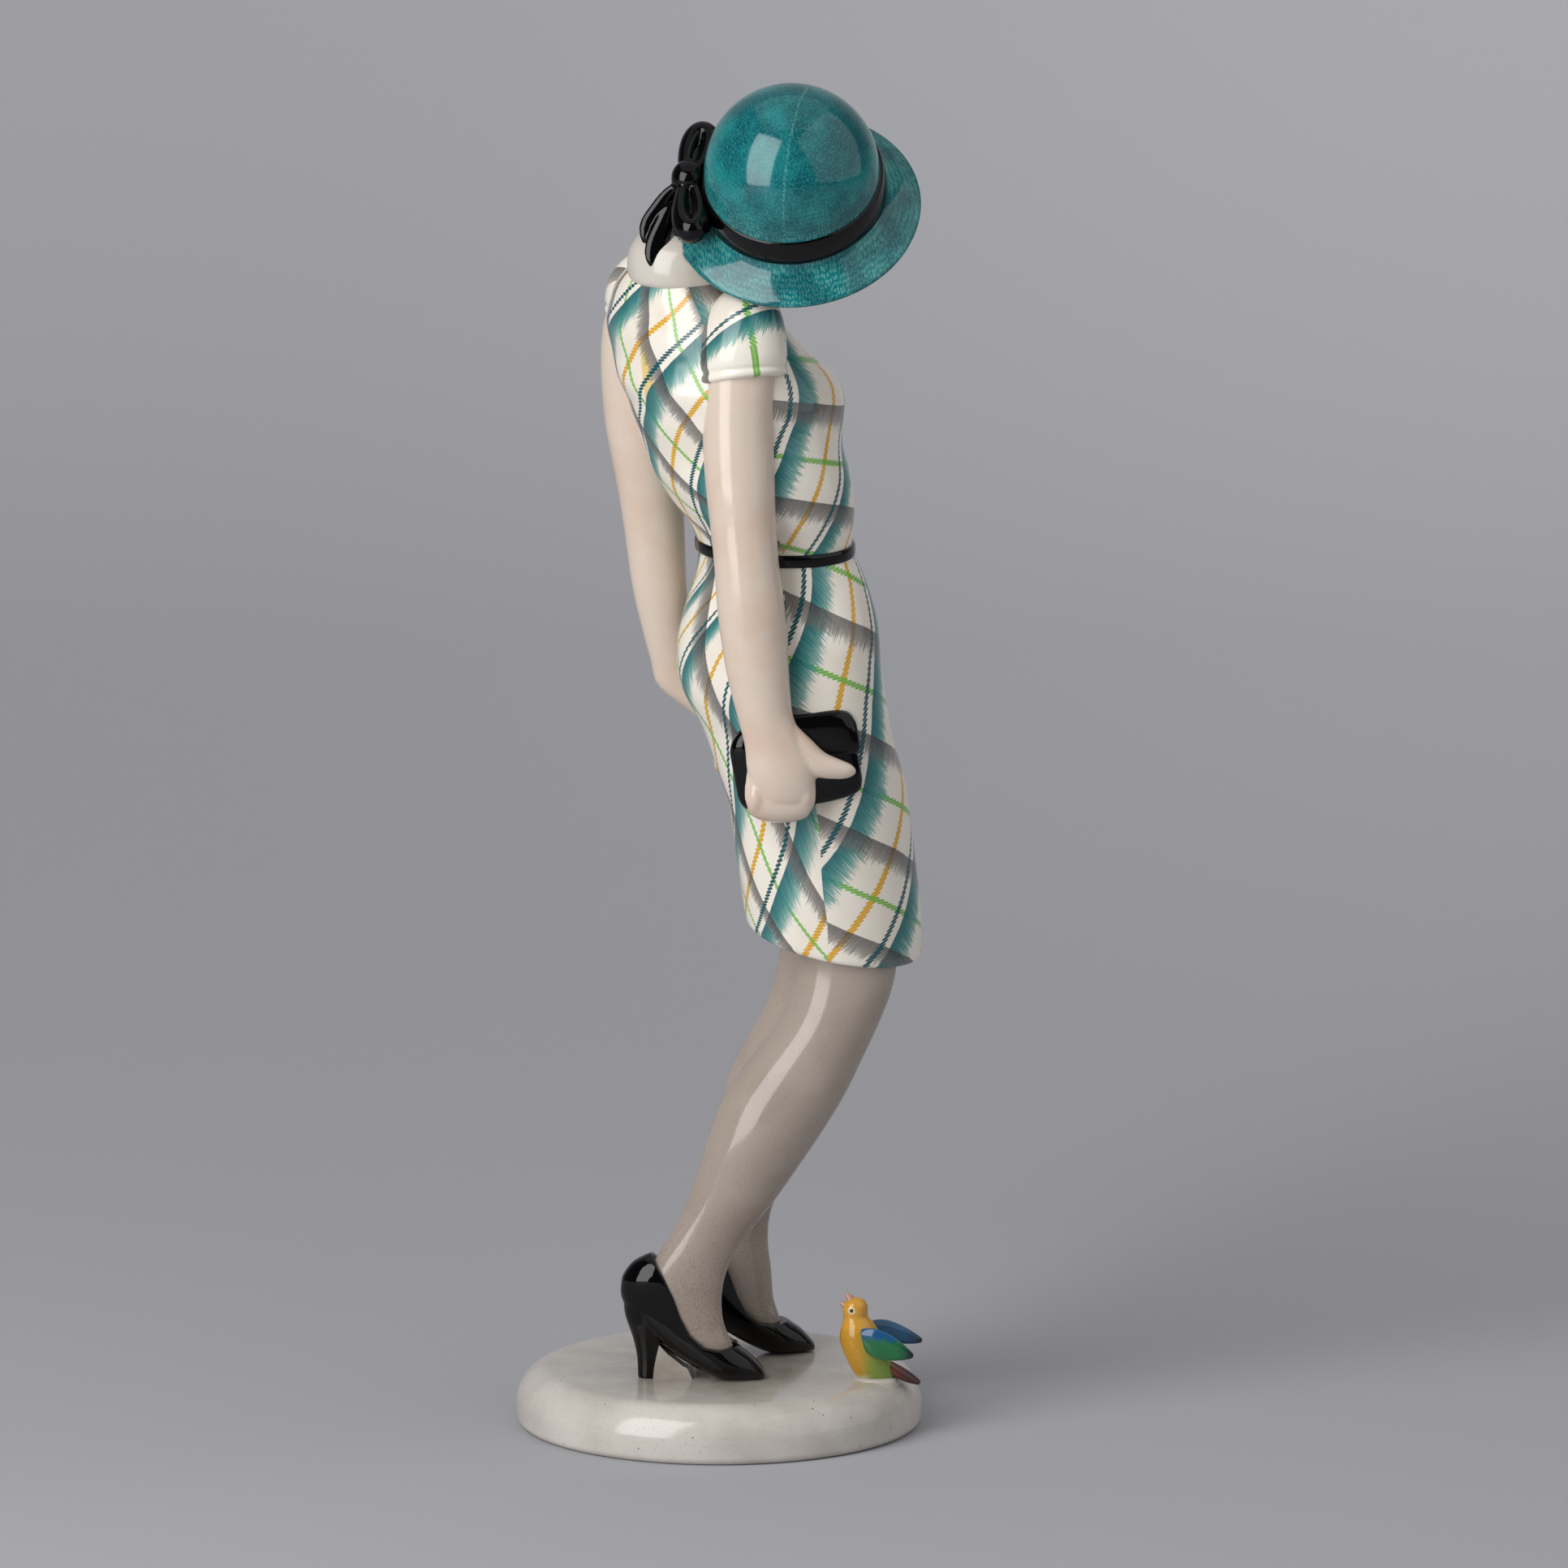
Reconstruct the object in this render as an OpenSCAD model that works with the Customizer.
/* [Base] */
// Diameter of the round plinth
base_d = 100; // [90:1:120]
// Height of the plinth
base_h = 14; // [12:0.5:18]
// Radius of the soft upper edge of the plinth
base_edge_r = 8.5; // [5:0.5:9.5]
// Radius of the small lower edge of the plinth
base_foot_r = 2; // [1:0.25:2.5]
// Diameter of the firing vent in the underside
vent_d = 9; // [5:0.5:12]
// Depth of the firing vent
vent_depth = 7; // [4:0.5:9]
// Distance of the firing vent from the middle of the underside
vent_offset = 24; // [20:1:30]

/* [Stance] */
// Distance between the middle lines of the two feet
stance_w = 28; // [27:0.5:32]
// How far the left foot stands in front of the right
step_l = 12.4; // [8:0.2:15]
// Height of the hem above the plinth
leg_h = 108; // [98:1:118]
// How far forward of the plinth's middle the knees come
knee_reach = 27.8; // [22:0.2:32]
// Thickness of a calf, front to back
calf_d = 29.8; // [26:0.2:33]
// Thickness of a calf, side to side
calf_w = 23.2; // [21:0.2:25]

/* [Shoes] */
// Length of a court shoe from the back of the heel to the toe
shoe_l = 36; // [33:0.5:39]
// Height of a court shoe at the back
shoe_h = 31.2; // [29:0.2:34]
// Width of a court shoe at the ball of the foot
shoe_w = 13.2; // [12:0.2:15]
// Width of the clay prop left standing under each instep
prop_w = 4.4; // [3:0.2:5]

/* [Skirt] */
// Length of the skirt from the hem to the waist
skirt_h = 99; // [90:1:110]
// Width of the skirt across the hips
hip_w = 57; // [53:0.5:59]
// Depth of the skirt at the seat
hip_d = 44.8; // [41:0.5:47]
// How far forward of the plinth's middle the waist comes
waist_reach = 13.8; // [10:0.2:18]
// Turn of the hips and shoulders away from the line of the feet, degrees
torso_turn = 41; // [36:1:46]

/* [Bodice] */
// Height of the bodice from the waist to the root of the neck
bodice_h = 79; // [72:1:84]
// Width of the bodice at the chest
chest_w = 56; // [51:0.5:58]
// Depth of the bodice at the bust
bust_d = 50; // [46:0.5:54]
// How far behind the plinth's middle the root of the neck comes
neck_back = 9; // [5:0.2:12]
// Height of the belt
belt_h = 2.6; // [2:0.1:4]
// How far the belt stands proud of the dress
belt_t = 0.9; // [0.6:0.1:1.5]
// Diameter of the flat round collar
collar_d = 34; // [31:0.5:38]
// Height of the collar from its edge to the neck
collar_h = 13; // [10:0.5:15]

/* [Arms] */
// Length of an arm from the shoulder to the finger tips
arm_l = 120; // [112:1:126]
// Thickness of the upper arm
arm_d = 18.4; // [16.5:0.2:19.4]
// Distance between the middle lines of the shoulders
shoulder_w = 49; // [46:0.5:52]
// Thickness of a sleeve at its cuff
sleeve_d = 20.8; // [20:0.2:23]
// Length of a sleeve from the shoulder to the cuff
sleeve_l = 19; // [16:0.5:24]

/* [Clutch] */
// Length of the clutch bag
clutch_l = 33; // [28:0.5:37]
// Height of the clutch bag
clutch_h = 23; // [19:0.5:25]
// Thickness of the clutch bag
clutch_t = 7.4; // [6:0.2:9]

/* [Head] */
// Height of the head from the chin to the crown
head_h = 43; // [40:0.5:46]
// Width of the head
head_w = 31; // [28:0.5:34]
// Depth of the head
head_d = 37; // [34:0.5:40]
// Thickness of the neck
neck_d = 17.5; // [15:0.5:20]

/* [Hat] */
// Diameter of the crown at the ribbon
crown_d = 45.2; // [43:0.2:49]
// Height of the crown above the root of the brim
crown_h = 30.6; // [26:0.2:32]
// Diameter of the brim
brim_d = 60.6; // [57:0.2:66]
// How far the brim falls below the crown
brim_fall = 6; // [5:0.2:10]
// Thickness of the brim
brim_t = 1.8; // [1.4:0.1:2.6]
// Height of the ribbon round the crown
ribbon_h = 7.6; // [4:0.2:8]
// Thickness of the ribbon
ribbon_t = 0.6; // [0.4:0.1:1]
// How far forward of the plinth's middle the hat sits
hat_reach = 18.7; // [16:0.2:22]
// Tilt of the hat towards the right shoulder, degrees
hat_roll = 38.6; // [34:0.2:42]
// Tilt of the hat towards the back, degrees
hat_pitch = 6.4; // [3:0.2:10]

/* [Bow] */
// Length of each loop of the bow
loop_l = 15.5; // [14:0.5:19]
// Width of the bow's ribbon
loop_w = 7.4; // [6:0.2:9]
// Diameter of the knot
knot_d = 7; // [6:0.2:8]
// Length of the longer tail
tail_l = 23; // [19:0.5:26]

/* [Bird] */
// Height of the bird's body from its seat to its crown
bird_h = 20.5; // [18:0.5:23]
// Thickness of the bird's body
bird_w = 9.6; // [8.6:0.2:11]
// Length of a wing
wing_l = 13.6; // [12:0.2:15]
// Distance of the bird from the rim of the plinth
bird_inset = 10; // [9:0.5:14]

/* [Hidden] */

// Levels and places that the pieces share
hem_z = base_h + leg_h;
waist_z = hem_z + skirt_h;
neck_z = waist_z + bodice_h;
foot_y = stance_w / 2;
right_dir = [sin(torso_turn), -cos(torso_turn), 0];
up = [0, 0, 1];
ahead = [1, 0, 0];
outward = [0, -1, 0];

// Points round a form, and rings between two rows of a table
torso_points = 32;
limb_points = 18;
small_points = 10;
torso_steps = 2;
limb_steps = 2;

function unit(v) = v / norm(v);

// One section: an ellipse of half width a and half depth b, square to its axis
function ring(c, axis, side, a, b, n) =
  let (w = unit(axis), v = unit(cross(w, side)), u = cross(v, w))
  [for (i = [0:n - 1]) let (t = 360 * i / n) c + u * a * cos(t) + v * b * sin(t)];

// A smooth row between rows i and i + 1 of a table, at share t of the way
function between(rows, i, t) =
  let (m = len(rows) - 1,
       p0 = rows[max(i - 1, 0)], p1 = rows[i], p2 = rows[i + 1], p3 = rows[min(i + 2, m)])
  (2 * p1 + (p2 - p0) * t + (2 * p0 - 5 * p1 + 4 * p2 - p3) * t * t
   + (3 * p1 - p0 - 3 * p2 + p3) * t * t * t) / 2;

function smooth(rows, steps) =
  [for (i = [0:len(rows) - 2]) for (k = [0:steps - 1]) between(rows, i, k / steps),
   rows[len(rows) - 1]];

// A table of shares times the sizes that its columns follow
function sized(shares, sizes) = [for (r = shares) [for (k = [0:len(r) - 1]) r[k] * sizes[k]]];

function place(row) = [row[0], row[1], row[2]];

function path_axis(rows, i) =
  place(rows[min(i + 1, len(rows) - 1)]) - place(rows[max(i - 1, 0)]);

// The solid through a list of rings, ordered along its axis
module loft(rings) {
  n = len(rings[0]);
  m = len(rings);
  start = [for (i = [0:n - 1]) i];
  end = [for (i = [n - 1:-1:0]) (m - 1) * n + i];
  walls = [for (j = [0:m - 2]) for (i = [0:n - 1]) each
    [[j * n + i, (j + 1) * n + (i + 1) % n, j * n + (i + 1) % n],
     [j * n + i, (j + 1) * n + i, (j + 1) * n + (i + 1) % n]]];
  polyhedron([for (r = rings) each r], concat([start, end], walls));
}

// A limb with level sections: each row is [x, y, z, half width, half depth]
module level_limb(rows, side, n = limb_points) {
  loft([for (r = rows) ring(place(r), up, side, r[3], r[4], n)]);
}

// A limb with sections square to its path: rows as above
module bent_limb(rows, side, n = small_points) {
  loft([for (i = [0:len(rows) - 1])
    ring(place(rows[i]), path_axis(rows, i), side, rows[i][3], rows[i][4], n)]);
}

// Plinth
vent_place_share = [0.8, 0.6];

module base_plinth() {
  r = base_d / 2;
  color("#cfc9c0")
  difference() {
    rotate_extrude($fn = 180) {
      square([r - base_edge_r, base_h]);
      translate([0, base_foot_r])
        square([r, base_h - base_edge_r - base_foot_r]);
      square([r - base_foot_r, base_foot_r]);
      translate([r - base_foot_r, base_foot_r])
        circle(base_foot_r, $fn = 48);
      translate([r - base_edge_r, base_h - base_edge_r])
        intersection() {
          circle(base_edge_r, $fn = 96);
          square(base_edge_r);
        }
    }
    translate(concat(vent_offset * vent_place_share, -vent_depth))
      cylinder(h = 2 * vent_depth, d = vent_d, $fn = 48);
  }
}

// Legs: rows of [x, y, z, half width, half depth], as shares of the knees' reach,
// half the stance, the hem's height and the calf's two thicknesses
right_leg_shares = [
  [-0.05, 1.00, 0.045, 0.16, 0.13],
  [-0.12, 1.00, 0.080, 0.20, 0.19],
  [-0.26, 1.00, 0.130, 0.25, 0.28],
  [-0.33, 1.00, 0.195, 0.27, 0.33],
  [-0.26, 1.00, 0.262, 0.27, 0.32],
  [-0.09, 0.98, 0.337, 0.30, 0.32],
  [0.10, 0.95, 0.413, 0.35, 0.36],
  [0.25, 0.92, 0.488, 0.42, 0.41],
  [0.39, 0.90, 0.562, 0.48, 0.46],
  [0.57, 0.88, 0.656, 0.49, 0.50],
  [0.79, 0.82, 0.750, 0.465, 0.46],
  [1.01, 0.76, 0.843, 0.43, 0.41],
  [1.13, 0.72, 0.940, 0.41, 0.41],
  [1.17, 0.70, 1.080, 0.40, 0.41]];

left_leg_shares = [
  [0.36, 1.00, 0.045, 0.16, 0.13],
  [0.30, 1.00, 0.080, 0.20, 0.19],
  [0.18, 1.00, 0.130, 0.25, 0.28],
  [0.11, 1.00, 0.195, 0.27, 0.33],
  [0.09, 1.00, 0.262, 0.27, 0.32],
  [0.12, 0.98, 0.337, 0.30, 0.32],
  [0.22, 0.95, 0.413, 0.35, 0.36],
  [0.37, 0.92, 0.488, 0.42, 0.41],
  [0.49, 0.90, 0.562, 0.48, 0.46],
  [0.61, 0.88, 0.656, 0.49, 0.50],
  [0.75, 0.82, 0.750, 0.465, 0.46],
  [0.88, 0.76, 0.843, 0.43, 0.41],
  [0.97, 0.72, 0.940, 0.41, 0.41],
  [1.02, 0.70, 1.080, 0.40, 0.41]];

function leg_rows(shares, hand) =
  [for (r = sized(shares, [knee_reach, hand * foot_y, leg_h, calf_w, calf_d]))
    r + [0, 0, base_h, 0, 0]];

module leg_form(shares, hand) {
  level_limb(smooth(leg_rows(shares, hand), limb_steps), outward);
}

module right_leg() { color("#a4978d") leg_form(right_leg_shares, -1); }
module left_leg() { color("#a4978d") leg_form(left_leg_shares, 1); }

// Court shoes: rows of [x, lift, half width, half depth] as shares of the shoe's length,
// height, width and length, and the turn of each section from upright, degrees
shoe_upper_shares = [
  [0.315, 0.020, 0.05, 0.015],
  [0.285, 0.050, 0.22, 0.040],
  [0.190, 0.095, 0.40, 0.088],
  [0.055, 0.145, 0.50, 0.135],
  [-0.110, 0.260, 0.49, 0.205],
  [-0.250, 0.440, 0.45, 0.245],
  [-0.370, 0.640, 0.44, 0.290],
  [-0.400, 0.830, 0.41, 0.265],
  [-0.385, 0.930, 0.36, 0.235],
  [-0.350, 1.010, 0.28, 0.120]];
shoe_section_turns = [15, 15, 20, 28, 45, 64, 84, 90, 90, 90];
heel_shares = [
  [-0.495, 0, 0.17, 0.062],
  [-0.490, 0.16, 0.19, 0.074],
  [-0.490, 0.32, 0.24, 0.102],
  [-0.480, 0.48, 0.33, 0.150],
  [-0.450, 0.66, 0.38, 0.170]];
topline_shares = [
  [-0.460, 1.005], [-0.366, 0.833], [-0.305, 0.686], [-0.255, 0.525],
  [-0.190, 0.375], [-0.090, 0.275], [0.010, 0.256], [0.089, 0.269]];
prop_shares = [[-0.45, 0], [-0.18, 0], [-0.26, 0.20], [-0.37, 0.37], [-0.42, 0.37]];
toe_out_right = 4;
toe_out_left = 10;
over_share = 0.5;

function shoe_row(r) = [r[0] * shoe_l, r[1] * shoe_h, r[2] * shoe_w, r[3] * shoe_l];

module shoe_upper() {
  rows = smooth([for (i = [0:len(shoe_upper_shares) - 1])
    concat(shoe_row(shoe_upper_shares[i]), shoe_section_turns[i])], limb_steps);
  loft([for (r = rows)
    ring([r[0], 0, r[1]], [-cos(r[4]), 0, sin(r[4])], outward, r[2], r[3], limb_points)]);
}

module shoe_heel() {
  rows = smooth([for (r = heel_shares) shoe_row(r)], limb_steps);
  loft([for (r = rows) ring([r[0], 0, r[1]], up, outward, r[2], r[3], small_points)]);
}

module shoe_topline() {
  line = [for (p = topline_shares) [p[0] * shoe_l, p[1] * shoe_h]];
  reach = over_share * shoe_l;
  rotate([90, 0, 0])
    linear_extrude(shoe_w + reach, center = true)
      polygon(concat(line, [[reach, line[7][1]], [reach, shoe_h + reach],
        [line[0][0], shoe_h + reach]]));
}

module shoe_form() {
  reach = over_share * shoe_l;
  difference() {
    union() {
      shoe_upper();
      shoe_heel();
    }
    translate([-2 * shoe_l, -shoe_w, -reach])
      cube([4 * shoe_l, 2 * shoe_w, reach]);
    shoe_topline();
  }
}

// The shoe's own origin lies under the middle of its length
module on_foot(hand) {
  x = hand > 0 ? step_l : 0;
  toe_out = hand > 0 ? toe_out_left : -toe_out_right;
  translate([x, hand * foot_y, base_h])
    rotate([0, 0, toe_out])
      children();
}

module right_shoe() {
  color("#17171a")
  difference() {
    on_foot(-1) shoe_form();
    leg_form(right_leg_shares, -1);
  }
}

module left_shoe() {
  color("#17171a")
  difference() {
    on_foot(1) shoe_form();
    leg_form(left_leg_shares, 1);
  }
}

// The web of clay between the heel and the sole
module arch_prop_form() {
  difference() {
    rotate([90, 0, 0])
      linear_extrude(prop_w, center = true)
        polygon([for (p = prop_shares) [p[0] * shoe_l, p[1] * shoe_h]]);
    shoe_upper();
    shoe_heel();
  }
}

module right_arch_prop() { color("#cfc9c0") on_foot(-1) arch_prop_form(); }
module left_arch_prop() { color("#cfc9c0") on_foot(1) arch_prop_form(); }

// Dress: rows of [x, z, half width, half depth, turn, bust, seat]. In the skirt's table x
// is how far the section lies on the way from the waist's reach to the knees' reach.
skirt_shares = [
  [1.04, 0.00, 0.395, 0.490, 0.45, 0, 0],
  [0.97, 0.12, 0.405, 0.500, 0.50, 0, 0],
  [0.88, 0.22, 0.415, 0.495, 0.62, 0, 0],
  [0.79, 0.32, 0.430, 0.485, 0.75, 0, 0],
  [0.64, 0.42, 0.450, 0.485, 0.87, 0, 0.1],
  [0.42, 0.53, 0.470, 0.455, 0.95, 0, 0.5],
  [0.19, 0.64, 0.495, 0.475, 1.00, 0, 0.9],
  [0.11, 0.74, 0.500, 0.465, 1.00, 0, 0.9],
  [0.12, 0.83, 0.480, 0.450, 1.00, 0, 0.5],
  [0.10, 0.93, 0.415, 0.410, 1.00, 0, 0],
  [0.00, 1.00, 0.368, 0.380, 1.00, 0, 0]];
bodice_shares = [
  [0.00, 0.000, 0.375, 0.340, 1, 0, 0],
  [0.04, 0.070, 0.395, 0.372, 1, 0, 0],
  [0.13, 0.145, 0.430, 0.425, 1, 0, 0],
  [0.25, 0.235, 0.455, 0.465, 1, 0.1, 0],
  [0.37, 0.330, 0.465, 0.458, 1, 0.4, 0],
  [0.44, 0.420, 0.465, 0.490, 1, 0.9, 0],
  [0.47, 0.475, 0.475, 0.500, 1, 1.0, 0],
  [0.57, 0.545, 0.485, 0.500, 1, 0.7, 0],
  [0.71, 0.620, 0.480, 0.430, 1, 0.3, 0],
  [0.84, 0.700, 0.455, 0.395, 1, 0, 0],
  [0.93, 0.770, 0.405, 0.330, 1, 0, 0],
  [0.99, 0.835, 0.330, 0.290, 1, 0, 0],
  [1.00, 0.900, 0.240, 0.245, 1, 0, 0],
  [1.00, 1.000, 0.160, 0.175, 1, 0, 0]];
bust_proud_share = 0.052;
seat_proud_share = 0.054;
lobe_turn = 28;
lobe_width = 24;
hem_fall = 10.9;
hem_side_fall = 4.5;

// Two soft lobes either side of the direction mid
function lobes(t, mid) =
  exp(-pow((t - mid - lobe_turn) / lobe_width, 2)) + exp(-pow((t - mid + lobe_turn) / lobe_width, 2));

// A section of the dress, turned with the body, with the lobes of the bust and seat
function dress_ring(c, axis, r, n) =
  let (turn = torso_turn * r[4],
       w = unit(axis),
       v = unit(cross(w, [sin(turn), -cos(turn), 0])),
       u = cross(v, w))
  [for (i = [0:n - 1])
    let (t = 360 * i / n,
         bust = bust_proud_share * bust_d * r[5] * lobes(t, 90),
         seat = seat_proud_share * hip_d * r[6] * lobes(t, 270),
         proud = bust + seat)
    c + u * (r[2] + proud) * cos(t) + v * (r[3] + proud) * sin(t)];

module skirt_form() {
  rows = smooth([for (r = skirt_shares)
    [waist_reach + (knee_reach - waist_reach) * r[0], r[1] * skirt_h,
     r[2] * hip_w, r[3] * hip_d, r[4], r[5], r[6]]], torso_steps);
  hem_slope = [tan(hem_fall), -tan(hem_side_fall), 0];
  loft([for (r = rows)
    let (left = 1 - r[1] / skirt_h)
    dress_ring([r[0], 0, hem_z + r[1]], up + hem_slope * left * left * left, r, torso_points)]);
}

module bodice_form() {
  rows = smooth([for (r = bodice_shares)
    [waist_reach - (waist_reach + neck_back) * r[0], r[1] * bodice_h,
     r[2] * chest_w, r[3] * bust_d, r[4], r[5], r[6]]], torso_steps);
  loft([for (r = rows) dress_ring([r[0], 0, waist_z + r[1]], up, r, torso_points)]);
}

module skirt() {
  color("#ddd5cb")
  difference() {
    skirt_form();
    leg_form(right_leg_shares, -1);
    leg_form(left_leg_shares, 1);
  }
}

module bodice() {
  color("#ddd5cb")
  difference() {
    bodice_form();
    neck_form();
  }
}

// Belt: its outer face follows the waist, and the dress fills its bore
belt_swell_shares = [-0.5, -0.32, 0.32, 0.5];
belt_edge_share = 0.6;

module belt_form() {
  half_w = bodice_shares[0][2] * chest_w;
  half_d = bodice_shares[0][3] * bust_d;
  loft([for (s = belt_swell_shares)
    let (proud = abs(s) == 0.5 ? belt_t * (1 + belt_edge_share) : belt_t * 2)
    dress_ring([waist_reach, 0, waist_z + s * belt_h], up,
      [0, 0, half_w + proud, half_d + proud, 1, 0, 0], torso_points)]);
}

module belt() {
  color("#17171a")
  difference() {
    belt_form();
    skirt_form();
    bodice_form();
  }
}

// Collar: rows of [z, half width] as shares of the collar's height and diameter
collar_shares = [
  [0, 0.44], [0.06, 0.465], [0.16, 0.478], [0.40, 0.478], [0.62, 0.458], [0.80, 0.415],
  [0.92, 0.36], [1, 0.30]];
collar_back_share = 0.06;
collar_top_share = 0.10;

module collar_form() {
  top = neck_z + collar_top_share * collar_h;
  rows = smooth(sized(collar_shares, [collar_h, collar_d]), limb_steps);
  loft([for (r = rows)
    ring([-neck_back + collar_back_share * collar_d, 0, top - collar_h + r[0]], up, right_dir,
      r[1], r[1], torso_points)]);
}

module collar() {
  color("#e6e0d8")
  difference() {
    collar_form();
    bodice_form();
    neck_form();
    sleeve_form(right_sleeve_shares, -1);
    sleeve_form(left_sleeve_shares, 1);
    in_hat() hat_form();
  }
}

// Arms: rows of [x, y, z, half width, half depth]. x and y run from the shoulder's own
// place, x and z as shares of the arm's length, y of the shoulders' width.
shoulder_drop_share = 0.175;
right_arm_shares = [
  [0.080, 0.245, -0.970, 0.14, 0.30],
  [0.077, 0.250, -0.955, 0.20, 0.38],
  [0.073, 0.250, -0.930, 0.24, 0.43],
  [0.067, 0.250, -0.895, 0.26, 0.45],
  [0.056, 0.240, -0.845, 0.27, 0.41],
  [0.037, 0.225, -0.790, 0.31, 0.375],
  [0.028, 0.215, -0.745, 0.34, 0.395],
  [0.018, 0.205, -0.675, 0.38, 0.43],
  [0.007, 0.190, -0.565, 0.41, 0.455],
  [-0.002, 0.165, -0.475, 0.43, 0.435],
  [-0.010, 0.135, -0.385, 0.44, 0.445],
  [-0.015, 0.115, -0.315, 0.46, 0.465],
  [-0.019, 0.070, -0.210, 0.48, 0.485],
  [-0.017, 0.035, -0.100, 0.48, 0.495],
  [-0.014, 0.010, -0.040, 0.44, 0.46],
  [-0.012, -0.020, 0.000, 0.30, 0.32]];
left_arm_shares = [
  [0.272, 0.130, -0.965, 0.16, 0.26],
  [0.260, 0.140, -0.930, 0.20, 0.34],
  [0.210, 0.150, -0.880, 0.22, 0.38],
  [0.136, 0.155, -0.825, 0.23, 0.34],
  [0.112, 0.150, -0.770, 0.26, 0.29],
  [0.100, 0.140, -0.700, 0.31, 0.33],
  [0.086, 0.130, -0.610, 0.35, 0.37],
  [0.076, 0.125, -0.490, 0.39, 0.41],
  [0.066, 0.120, -0.390, 0.44, 0.45],
  [0.050, 0.105, -0.260, 0.48, 0.50],
  [0.042, 0.060, -0.130, 0.48, 0.50],
  [0.044, 0.020, -0.040, 0.44, 0.46],
  [0.045, -0.020, 0.000, 0.30, 0.32]];
shoulder_z = neck_z - shoulder_drop_share * arm_l;
shoulder_x = -neck_back;

arm_side_share = 0.4375;
arm_bow_share = 0.875;
shoulder_fade_share = 0.25;

// The middle of an arm at height z below the shoulder: the shoulders' width sets its top,
// the chest's width the rest. hand is -1 for the right and 1 for the left.
function arm_side(hand, z) =
  let (top = max(0, min(1, 1 + z / (shoulder_fade_share * arm_l))),
       out = top * shoulder_w / 2 + (1 - top) * arm_side_share * chest_w)
  [shoulder_x, 0, shoulder_z] - hand * right_dir * out;

function arm_rows(shares, hand) =
  [for (r = sized(shares, [arm_l, hand * arm_bow_share * chest_w, arm_l, arm_d, arm_d]))
    r + concat(arm_side(hand, r[2]), [0, 0])];

module arm_form(shares, hand) {
  level_limb(smooth(arm_rows(shares, hand), limb_steps), outward);
}

// Sleeves: rows of [x, y, z, half width, half depth, lean] from the shoulder's place
right_sleeve_shares = [
  [-0.07, 0.045, -0.62, 0.50, 0.50, 0.30],
  [-0.07, 0.045, -0.50, 0.51, 0.515, 0.28],
  [-0.07, 0.040, -0.25, 0.51, 0.515, 0.20],
  [-0.09, 0.010, 0.05, 0.48, 0.49, 0.30],
  [-0.16, -0.050, 0.27, 0.40, 0.42, 0.80],
  [-0.27, -0.130, 0.38, 0.30, 0.32, 1.60]];
left_sleeve_shares = [
  [0.37, 0.060, -0.16, 0.45, 0.45, 0.25],
  [0.36, 0.055, -0.06, 0.47, 0.47, 0.25],
  [0.35, 0.040, 0.08, 0.47, 0.47, 0.20],
  [0.36, 0.000, 0.24, 0.43, 0.45, 0.30],
  [0.40, -0.070, 0.38, 0.37, 0.40, 0.80],
  [0.48, -0.140, 0.48, 0.28, 0.31, 1.60]];

module sleeve_form(shares, hand) {
  sizes = [sleeve_l, hand * arm_bow_share * chest_w, sleeve_l, sleeve_d, sleeve_d, 1];
  rows = smooth([for (r = sized(shares, sizes))
    r + concat(arm_side(hand, r[2]), [0, 0, 0])], limb_steps);
  loft([for (r = rows)
    ring(place(r), up - hand * outward * -r[5], outward, r[3], r[4], limb_points)]);
}

// Fingers and thumb: rows of [x, y, z, half width, half depth] from the hand's middle,
// as shares of the hand's length
hand_l_share = 0.215;
finger_count = 4;
finger_pitch_share = 0.150;
curled_finger_shares = [
  [0, 0.02, 0.05, 0.070, 0.070],
  [0, -0.01, -0.16, 0.088, 0.086],
  [0, -0.03, -0.30, 0.094, 0.092],
  [0, 0.02, -0.40, 0.094, 0.088],
  [0, 0.13, -0.43, 0.086, 0.082],
  [0, 0.25, -0.36, 0.060, 0.060]];
gripping_thumb_shares = [
  [0.08, 0.02, 0.46, 0.10, 0.10],
  [0.20, 0.03, 0.28, 0.12, 0.13],
  [0.37, 0.03, 0.08, 0.115, 0.125],
  [0.54, 0.04, 0.01, 0.10, 0.10],
  [0.66, 0.05, 0.00, 0.075, 0.080],
  [0.71, 0.05, 0.00, 0.030, 0.030]];
relaxed_finger_shares = [
  [0, 0, 0.25, 0.075, 0.075],
  [0.01, 0, 0.05, 0.080, 0.080],
  [0.01, -0.01, -0.12, 0.078, 0.078],
  [0.00, -0.04, -0.27, 0.070, 0.070],
  [-0.02, -0.08, -0.36, 0.040, 0.040]];
relaxed_thumb_shares = [
  [0.08, 0, 0.42, 0.09, 0.10],
  [0.24, -0.02, 0.30, 0.10, 0.11],
  [0.34, -0.05, 0.12, 0.085, 0.09],
  [0.37, -0.07, -0.02, 0.05, 0.05]];
finger_length_shares = [0.94, 1, 0.97, 0.86];

hand_l = hand_l_share * arm_l;

// A finger from a table, grown from the middle of the hand
module digit(shares, middle, hand, shift, reach, side = ahead) {
  rows = smooth(sized(shares, [hand_l, -hand * hand_l, hand_l * reach, hand_l, hand_l]), limb_steps);
  bent_limb([for (r = rows) r + concat(middle + [shift, 0, 0], [0, 0])], side);
}

function right_palm() = place(arm_rows(right_arm_shares, -1)[3]);
function left_palm() = place(arm_rows(left_arm_shares, 1)[1]);

module fingers(shares, middle, hand) {
  for (i = [0:finger_count - 1]) {
    shift = (i - (finger_count - 1) / 2) * finger_pitch_share * hand_l;
    digit(shares, middle, hand, shift, finger_length_shares[i]);
  }
}

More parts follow.
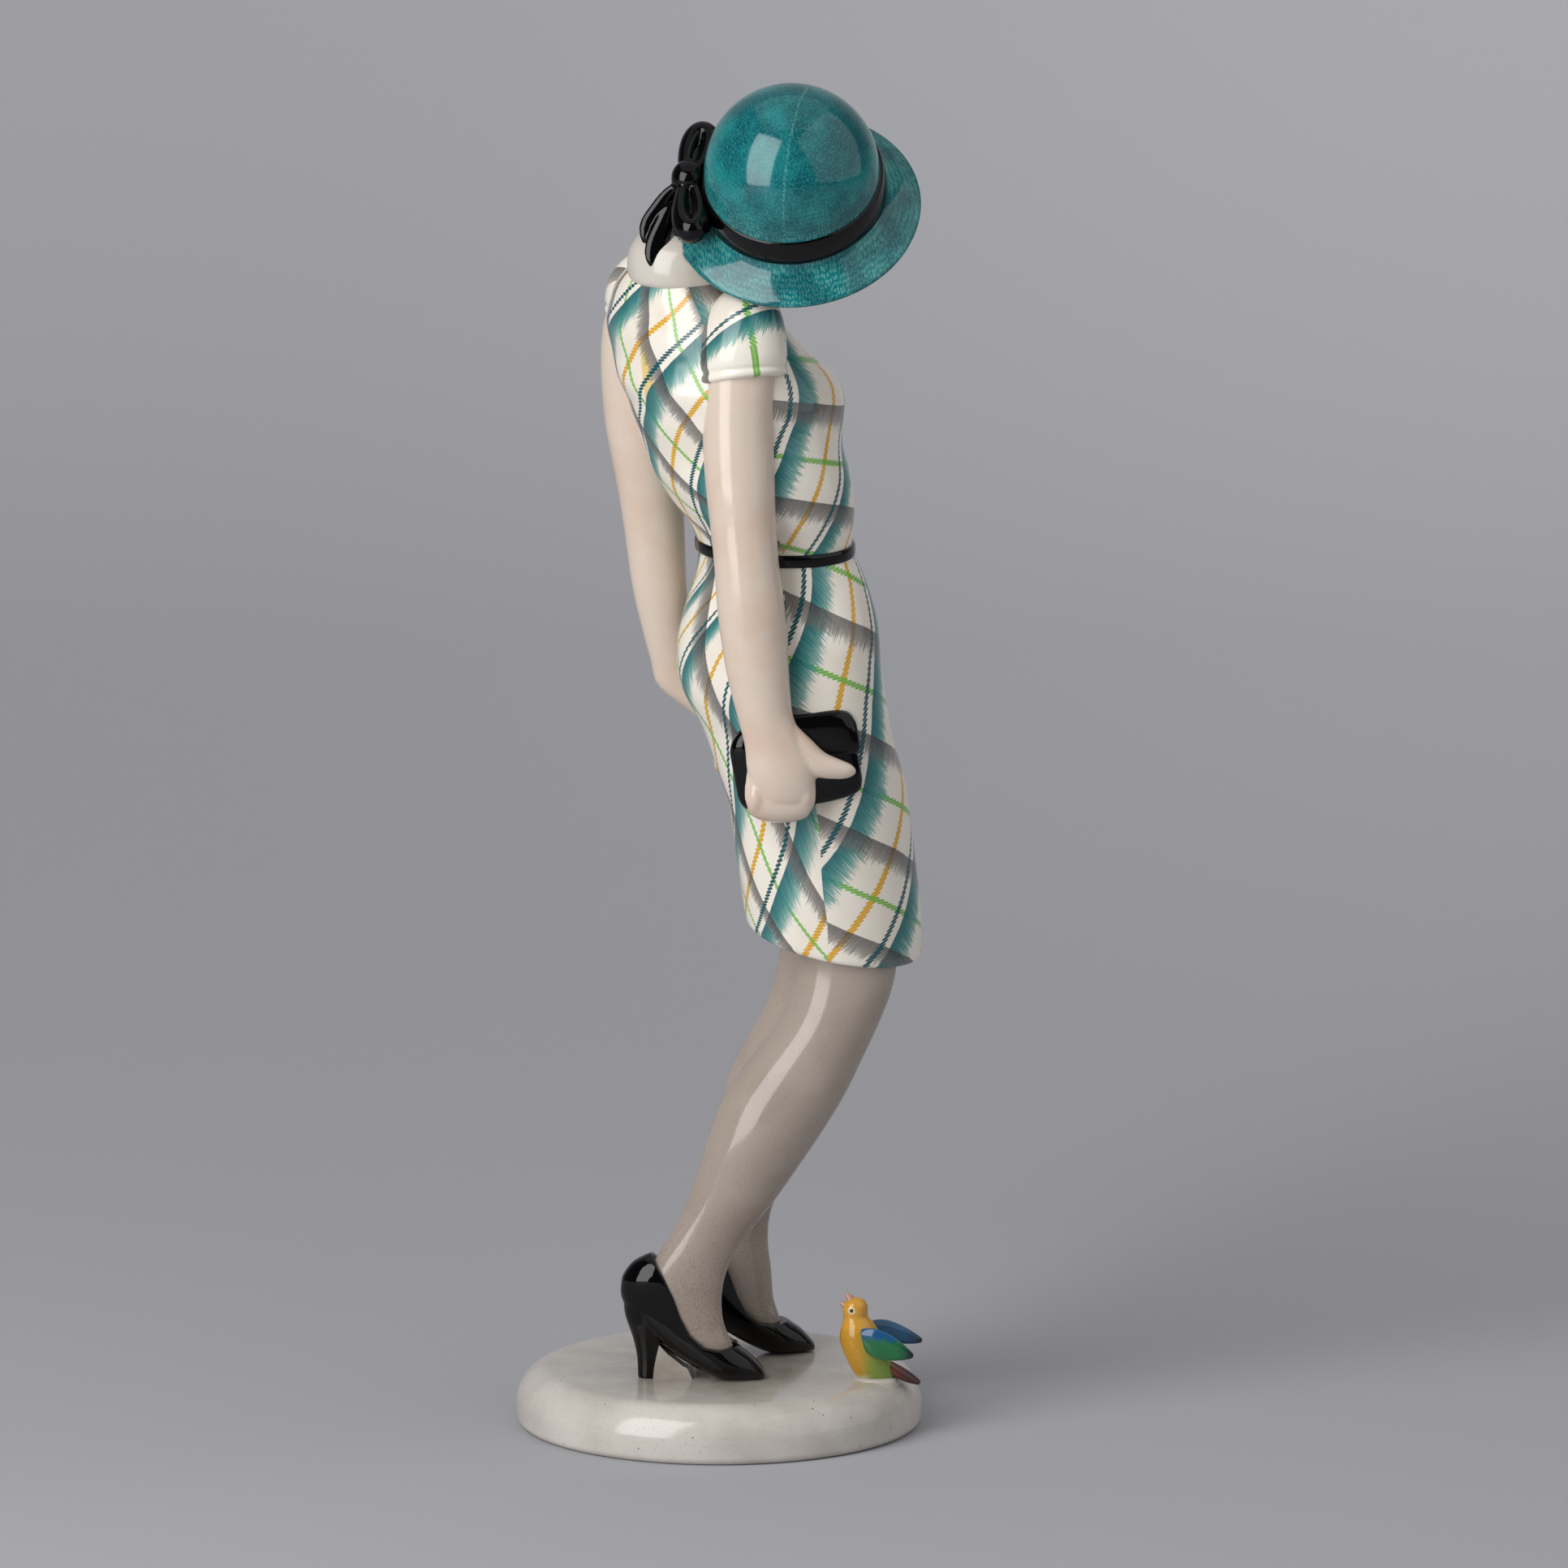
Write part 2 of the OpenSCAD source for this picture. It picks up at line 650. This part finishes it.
module right_arm() {
  color("#e3cfc0")
  difference() {
    union() {
      arm_form(right_arm_shares, -1);
      fingers(curled_finger_shares, right_palm(), -1);
      digit(gripping_thumb_shares, right_palm(), -1, 0, 1, outward);
    }
    bodice_form();
    skirt_form();
    belt_form();
    clutch_form();
    clutch_flap_form();
  }
}

module left_arm() {
  color("#e3cfc0")
  difference() {
    union() {
      arm_form(left_arm_shares, 1);
      fingers(relaxed_finger_shares, left_palm(), 1);
      digit(relaxed_thumb_shares, left_palm(), 1, 0, 1);
    }
    bodice_form();
    skirt_form();
    belt_form();
  }
}

module right_sleeve() {
  color("#ddd5cb")
  difference() {
    sleeve_form(right_sleeve_shares, -1);
    bodice_form();
    arm_form(right_arm_shares, -1);
  }
}

module left_sleeve() {
  color("#ddd5cb")
  difference() {
    sleeve_form(left_sleeve_shares, 1);
    bodice_form();
    arm_form(left_arm_shares, 1);
  }
}

// Clutch bag: rows of [x, z, half height, half thickness] as shares of its sizes
clutch_shares = [
  [-0.50, -0.04, 0.26, 0.16],
  [-0.46, -0.03, 0.38, 0.34],
  [-0.36, -0.01, 0.46, 0.46],
  [-0.10, 0.00, 0.49, 0.50],
  [0.20, 0.00, 0.50, 0.50],
  [0.40, 0.01, 0.48, 0.44],
  [0.47, 0.01, 0.43, 0.32],
  [0.50, 0.01, 0.33, 0.16]];
clutch_roll = 10;
clutch_middle_shares = [0.18, -0.98, 0.02];
clutch_flap_shares = [
  [-0.22, 0.36, 0.10, 0.40],
  [-0.18, 0.32, 0.20, 0.54],
  [-0.05, 0.29, 0.25, 0.575],
  [0.20, 0.27, 0.27, 0.58],
  [0.40, 0.26, 0.27, 0.54],
  [0.49, 0.22, 0.25, 0.42],
  [0.53, 0.20, 0.16, 0.22]];

function clutch_middle() =
  right_palm() + [clutch_middle_shares[0] * hand_l, -clutch_middle_shares[1] * clutch_t,
                  clutch_middle_shares[2] * hand_l];

// A section with squared corners
function pouch_ring(c, half_h, half_t, n) =
  [for (i = [0:n - 1])
    let (t = 360 * i / n, q = 1 / pow(pow(abs(cos(t)), 4) + pow(abs(sin(t)), 4), 0.25))
    c + [0, half_t * q * cos(t), half_h * q * sin(t)]];

module pouch_form(shares) {
  rows = smooth(sized(shares, [clutch_l, clutch_h, clutch_h, clutch_t]), limb_steps);
  translate(clutch_middle())
    rotate([0, -clutch_roll, 0])
      loft([for (r = rows) pouch_ring([r[0], 0, r[1]], r[2], r[3], limb_points)]);
}

module clutch_form() { pouch_form(clutch_shares); }
module clutch_flap_form() { pouch_form(clutch_flap_shares); }

module clutch_bag() {
  color("#17171a")
  difference() {
    clutch_form();
    skirt_form();
  }
}

module clutch_flap() {
  color("#17171a")
  difference() {
    clutch_flap_form();
    clutch_form();
    skirt_form();
  }
}

// Hat: its axis leans to the right shoulder, and the head nods further under it
hat_side_share = -0.22;
hat_lift_share = 0.26;
crown_taper_share = 0.044;
brim_curl_share = 0.35;
brim_steps = 7;
ribbon_gap_share = 0.05;
lip_share = 0.3;
under_share = 0.6;
hat_middle = [hat_reach, hat_side_share * crown_d, neck_z + hat_lift_share * crown_d];
root_r = crown_d / 2;
dome_r = root_r - crown_taper_share * root_r;
dome_z = crown_h - dome_r;

module in_hat() {
  translate(hat_middle)
    rotate([hat_roll, -hat_pitch, 0])
      children();
}

// A point of the brim's upper line at share t from root to edge
function brim_point(t) =
  [root_r + (brim_d / 2 - root_r) * (t + brim_curl_share * t * (t - 1)),
   -brim_fall * (t - brim_curl_share * t * (t - 1))];

module dome_form() {
  intersection() {
    translate([0, 0, dome_z])
      sphere(dome_r, $fn = 144);
    cylinder(h = 2 * crown_h, r = root_r, $fn = 144);
  }
}

module hat_form() {
  line = [for (i = [0:brim_steps]) brim_point(i / brim_steps)];
  under = [for (i = [brim_steps:-1:0])
    brim_point(i / brim_steps) - [brim_t * (i == brim_steps ? lip_share : under_share), brim_t]];
  dome_form();
  rotate_extrude($fn = 144)
    polygon(concat([[0, dome_z], [dome_r, dome_z]], line, under, [[0, -brim_t]]));
}

module hat() {
  color("#1c7f82")
  difference() {
    in_hat() hat_form();
    head_form();
    in_head() hair_form();
  }
}

function crown_at(z) = root_r + (dome_r - root_r) * z / dome_z;

// filled closes the ribbon to the axis, for what is cut to lie against it
module ribbon_form(filled = false) {
  low = ribbon_gap_share * ribbon_h;
  edge = ribbon_t / 2;
  rotate_extrude($fn = 144)
    polygon([[filled ? 0 : crown_at(low), low], [crown_at(low) + edge, low],
      [crown_at(low + edge) + ribbon_t, low + edge],
      [crown_at(ribbon_h - edge) + ribbon_t, ribbon_h - edge],
      [crown_at(ribbon_h) + edge, ribbon_h], [filled ? 0 : crown_at(ribbon_h), ribbon_h]]);
}

module hat_ribbon() { color("#17171a") in_hat() ribbon_form(); }

// Head: rows of [forward, up, half width, half depth]
head_shares = [
  [0.285, -0.500, 0.10, 0.075],
  [0.240, -0.470, 0.19, 0.150],
  [0.165, -0.400, 0.29, 0.260],
  [0.095, -0.300, 0.375, 0.355],
  [0.040, -0.180, 0.44, 0.425],
  [0.010, -0.050, 0.48, 0.475],
  [0.000, 0.100, 0.50, 0.500],
  [-0.010, 0.250, 0.475, 0.480],
  [-0.020, 0.380, 0.39, 0.400],
  [-0.020, 0.460, 0.25, 0.260],
  [-0.020, 0.500, 0.08, 0.090]];
// Relief of a plain classical face: [up, turn from the middle, height, width, rise]
face_relief_shares = [
  [0.020, 0, 0.080, 0.10, 0.035],
  [-0.080, 0, 0.080, 0.10, 0.055],
  [-0.150, 0, 0.045, 0.12, 0.075],
  [0.015, 0.27, 0.050, 0.15, -0.030],
  [0.085, 0.24, 0.045, 0.24, 0.012],
  [-0.130, 0.42, 0.080, 0.18, 0.015],
  [-0.275, 0, 0.035, 0.16, 0.026],
  [-0.345, 0, 0.030, 0.20, -0.014],
  [-0.430, 0, 0.060, 0.22, 0.028]];
relief_turn = 90;
front_dense = 22;
head_nod = 22;
head_turn = -20;
head_drop_share = 0.105;
head_steps = 2;
head_points = 32;

module in_head() {
  in_hat()
    translate([0, 0, -head_drop_share * head_h])
      rotate([0, head_nod, head_turn])
        children();
}

// How far the face stands proud at height s and turn a from its middle line
function relief(s, a) =
  head_d * (let (rises = [for (r = face_relief_shares)
      let (high = pow((s - r[0]) / r[2], 2),
           one = pow((a / relief_turn - r[1]) / r[3], 2),
           other = pow((a / relief_turn + r[1]) / r[3], 2))
      r[4] * exp(-high) * (r[1] == 0 ? exp(-one) : exp(-one) + exp(-other))])
    rises * [for (r = rises) 1]);

module skull_form() {
  rows = smooth(head_shares, head_steps);
  loft([for (r = rows)
    [for (i = [0:head_points - 1])
      let (even = 360 * i / head_points - 90,
           a = even - front_dense * sin(even),
           proud = relief(r[1], a))
      [r[0] * head_d + (r[3] * head_d + proud) * cos(a), r[2] * head_w * sin(a), r[1] * head_h]]]);
}

// Neck: rows of [x, y, z, half width, half depth] from the root of the neck
neck_shares = [
  [0.00, 0.00, -0.60, 0.48, 0.50],
  [0.07, 0.00, -0.22, 0.49, 0.50],
  [0.28, 0.01, 0.02, 0.47, 0.48],
  [0.62, 0.03, 0.13, 0.46, 0.47],
  [0.97, 0.02, 0.19, 0.47, 0.48],
  [1.30, -0.06, 0.27, 0.46, 0.47]];

module neck_form() {
  rows = smooth(neck_d * neck_shares, limb_steps);
  bent_limb([for (r = rows) r + [-neck_back, 0, neck_z, 0, 0]], outward, limb_points);
}

module head_form() {
  in_head() skull_form();
  neck_form();
}

module head() {
  color("#e3cfc0")
  union() {
    in_head() skull_form();
    neck_form();
  }
}

// Hair: a short bob behind and beside the face, rows as the head's
hair_shares = [
  [-0.190, -0.360, 0.30, 0.17],
  [-0.175, -0.280, 0.45, 0.30],
  [-0.125, -0.150, 0.54, 0.41],
  [-0.070, 0.000, 0.57, 0.47],
  [-0.040, 0.150, 0.575, 0.51],
  [-0.030, 0.300, 0.54, 0.50],
  [-0.030, 0.430, 0.44, 0.42],
  [-0.030, 0.530, 0.20, 0.20]];

module hair_form() {
  loft([for (r = smooth(hair_shares, head_steps))
    ring([r[0] * head_d, 0, r[1] * head_h], up, outward, r[2] * head_w, r[3] * head_d, limb_points)]);
}

module hair() {
  color("#7a5636")
  difference() {
    in_head() hair_form();
    head_form();
    collar_form();
  }
}

// Bow: tied on the left of the hat, over the end of the ribbon
bow_angle = 171;
bow_lift_share = 0.5;
knot_seat_share = 0.46;
loop_start = 35;
loop_steps = 18;
loop_t_share = 0.15;
loop_breadth_share = 0.205;
loop_lean = 9;
loop_end_share = 0.5;

module in_bow() {
  in_hat()
    rotate([0, 0, bow_angle])
      translate([crown_at(bow_lift_share * ribbon_h) + ribbon_t + knot_seat_share * knot_d, 0,
        bow_lift_share * ribbon_h])
        children();
}

// The middle line of a loop at turn t: out from the knot and back to it
function loop_point(t) =
  [loop_breadth_share * loop_l * sin(t) * (1 - loop_end_share * pow(cos(t / 2), 2)),
   loop_l * (1 - cos(t)) / 2, 0];

module loop_form(hand) {
  step = (360 - 2 * loop_start) / loop_steps;
  turns = [for (i = [0:loop_steps]) loop_start + i * step];
  rotate([0, 0, hand * loop_lean])
    mirror([0, hand < 0 ? 1 : 0, 0])
      loft([for (t = turns)
        let (full = 1 - loop_end_share * pow(cos(t / 2), 2))
        ring(loop_point(t), loop_point(t + step / 2) - loop_point(t - step / 2), up,
          full * loop_w / 2, full * loop_t_share * loop_l, small_points)]);
}

knot_shares = [
  [-0.58, 0.14], [-0.53, 0.30], [-0.38, 0.46], [-0.12, 0.54],
  [0.16, 0.54], [0.42, 0.46], [0.58, 0.30], [0.64, 0.14]];

module knot_form() {
  loft([for (r = knot_shares)
    ring([0, 0, r[0] * knot_d], up, ahead, r[1] * knot_d, r[1] * knot_d, limb_points)]);
}

module bow_knot() {
  color("#17171a")
  difference() {
    in_bow() knot_form();
    in_hat() hat_form();
    in_hat() ribbon_form(true);
  }
}

module bow_loop(hand) {
  color("#17171a")
  difference() {
    in_bow() loop_form(hand);
    in_bow() knot_form();
    in_hat() hat_form();
    in_hat() ribbon_form(true);
  }
}

module bow_upper_loop() { bow_loop(-1); }
module bow_lower_loop() { bow_loop(1); }

// Tails: rows of [x, y, z, half width, half thickness] from the knot, shares of the length
long_tail_shares = [
  [-0.02, 0.05, -0.06, 0.050, 0.038],
  [-0.11, 0.05, -0.15, 0.070, 0.040],
  [-0.19, 0.02, -0.27, 0.085, 0.042],
  [-0.27, -0.04, -0.46, 0.105, 0.042],
  [-0.34, -0.09, -0.67, 0.125, 0.042],
  [-0.37, -0.13, -0.81, 0.095, 0.036],
  [-0.37, -0.14, -0.91, 0.025, 0.025]];
short_tail_shares = [
  [-0.04, 0.01, 0.00, 0.050, 0.038],
  [-0.12, 0.02, -0.06, 0.070, 0.040],
  [-0.22, 0.03, -0.16, 0.090, 0.042],
  [-0.32, 0.03, -0.31, 0.105, 0.042],
  [-0.41, 0.02, -0.47, 0.115, 0.042],
  [-0.45, 0.00, -0.58, 0.080, 0.036],
  [-0.47, -0.01, -0.66, 0.025, 0.025]];

// The knot's middle in the object's own frame
knot_out = crown_at(bow_lift_share * ribbon_h) + ribbon_t + knot_seat_share * knot_d;
knot_local = [knot_out * cos(bow_angle), knot_out * sin(bow_angle), bow_lift_share * ribbon_h];

function rolled(p) = [p[0], p[1] * cos(hat_roll) - p[2] * sin(hat_roll),
  p[1] * sin(hat_roll) + p[2] * cos(hat_roll)];
function pitched(p) = [p[0] * cos(hat_pitch) - p[2] * sin(hat_pitch), p[1],
  p[0] * sin(hat_pitch) + p[2] * cos(hat_pitch)];
knot_middle = hat_middle + pitched(rolled(knot_local));

module tail_form(shares) {
  rows = smooth(tail_l * shares, limb_steps);
  bent_limb([for (r = rows) r + concat(knot_middle, [0, 0])], ahead);
}

module bow_tail(shares) {
  color("#17171a")
  difference() {
    tail_form(shares);
    in_bow() knot_form();
    in_bow() loop_form(1);
    collar_form();
    in_hat() hat_form();
  }
}

module bow_long_tail() { bow_tail(long_tail_shares); }
module bow_short_tail() {
  difference() {
    bow_tail(short_tail_shares);
    tail_form(long_tail_shares);
  }
}

// Bird: it looks up from the rim of the plinth, its tail over the edge
bird_angle = -21;
bird_r = base_d / 2 - bird_inset;
bird_place = [bird_r * cos(bird_angle), bird_r * sin(bird_angle), base_h];
bird_body_shares = [
  [0.02, 0.00, 0.26, 0.34],
  [-0.01, 0.06, 0.34, 0.40],
  [-0.06, 0.22, 0.46, 0.52],
  [-0.115, 0.45, 0.50, 0.56],
  [-0.135, 0.60, 0.46, 0.49],
  [-0.155, 0.70, 0.37, 0.39],
  [-0.18, 0.77, 0.31, 0.32],
  [-0.185, 0.84, 0.31, 0.33],
  [-0.18, 0.92, 0.29, 0.30],
  [-0.175, 0.975, 0.19, 0.20],
  [-0.17, 1.00, 0.06, 0.07]];
left_wing_shares = [
  [-0.22, -0.22, 0.72, 0.11, 0.060],
  [0.00, -0.34, 0.66, 0.21, 0.066],
  [0.26, -0.41, 0.56, 0.20, 0.060],
  [0.51, -0.46, 0.47, 0.14, 0.048],
  [0.72, -0.49, 0.43, 0.04, 0.025]];
right_wing_shares = [
  [-0.11, 0.22, 0.88, 0.11, 0.060],
  [0.18, 0.34, 0.83, 0.20, 0.066],
  [0.48, 0.43, 0.73, 0.18, 0.060],
  [0.74, 0.48, 0.64, 0.12, 0.048],
  [0.94, 0.51, 0.58, 0.04, 0.025]];
bird_tail_shares = [
  [0.12, 0.00, 0.20, 0.06, 0.040],
  [0.29, 0.00, 0.105, 0.10, 0.040],
  [0.44, 0.00, 0.035, 0.115, 0.036],
  [0.60, 0.00, -0.05, 0.070, 0.024]];
upper_beak_shares = [
  [-0.20, 0, 0.92, 0.055, 0.055],
  [-0.25, 0, 0.99, 0.036, 0.040],
  [-0.285, 0, 1.05, 0.008, 0.010]];
lower_beak_shares = [
  [-0.24, 0, 0.855, 0.050, 0.050],
  [-0.31, 0, 0.90, 0.034, 0.034],
  [-0.365, 0, 0.94, 0.008, 0.010]];
mound_shares = [
  [0.10, -0.16, 0.66, 0.78],
  [0.09, 0.00, 0.60, 0.70],
  [0.07, 0.05, 0.50, 0.58],
  [0.05, 0.08, 0.36, 0.42]];

module bird_form() {
  rows = smooth(sized(bird_body_shares, [bird_h, bird_h, bird_w, bird_w]), 1);
  translate(bird_place)
    loft([for (r = rows) ring([r[0], 0, r[1]], up, outward, r[2], r[3], limb_points)]);
}

// A wing, the tail or half the beak: its breadth lies in the plane of side
module bird_blade(shares, size, side) {
  translate(bird_place)
    bent_limb(smooth(size * shares, limb_steps), side);
}

module bird_mound() {
  color("#cfc9c0")
  difference() {
    translate(bird_place)
      loft([for (r = sized(mound_shares, [bird_h, bird_h, bird_w, bird_w]))
        ring([r[0], 0, r[1]], up, outward, r[2], r[3], limb_points)]);
    base_plinth();
    bird_form();
    bird_tail_form();
  }
}

module bird_tail_form() { bird_blade(bird_tail_shares, bird_h, outward); }
module bird_body() { color("#d9a63a") bird_form(); }

module bird_left_wing() {
  color("#2f7d55")
  difference() {
    bird_blade(left_wing_shares, wing_l, up);
    bird_form();
  }
}

module bird_right_wing() {
  color("#2a5f86")
  difference() {
    bird_blade(right_wing_shares, wing_l, up);
    bird_form();
  }
}

module bird_tail() {
  color("#5a2f35")
  difference() {
    bird_tail_form();
    bird_form();
    base_plinth();
  }
}

module bird_upper_beak() {
  color("#c98f6a")
  difference() {
    bird_blade(upper_beak_shares, bird_h, outward);
    bird_form();
  }
}

module bird_lower_beak() {
  color("#c98f6a")
  difference() {
    bird_blade(lower_beak_shares, bird_h, outward);
    bird_form();
    bird_blade(upper_beak_shares, bird_h, outward);
  }
}

base_plinth();
right_arch_prop();
left_arch_prop();
right_shoe();
left_shoe();
right_leg();
left_leg();
skirt();
belt();
bodice();
collar();
right_sleeve();
left_sleeve();
right_arm();
left_arm();
clutch_bag();
clutch_flap();
head();
hair();
hat();
hat_ribbon();
bow_knot();
bow_upper_loop();
bow_lower_loop();
bow_short_tail();
bow_long_tail();
bird_mound();
bird_body();
bird_right_wing();
bird_left_wing();
bird_tail();
bird_upper_beak();
bird_lower_beak();
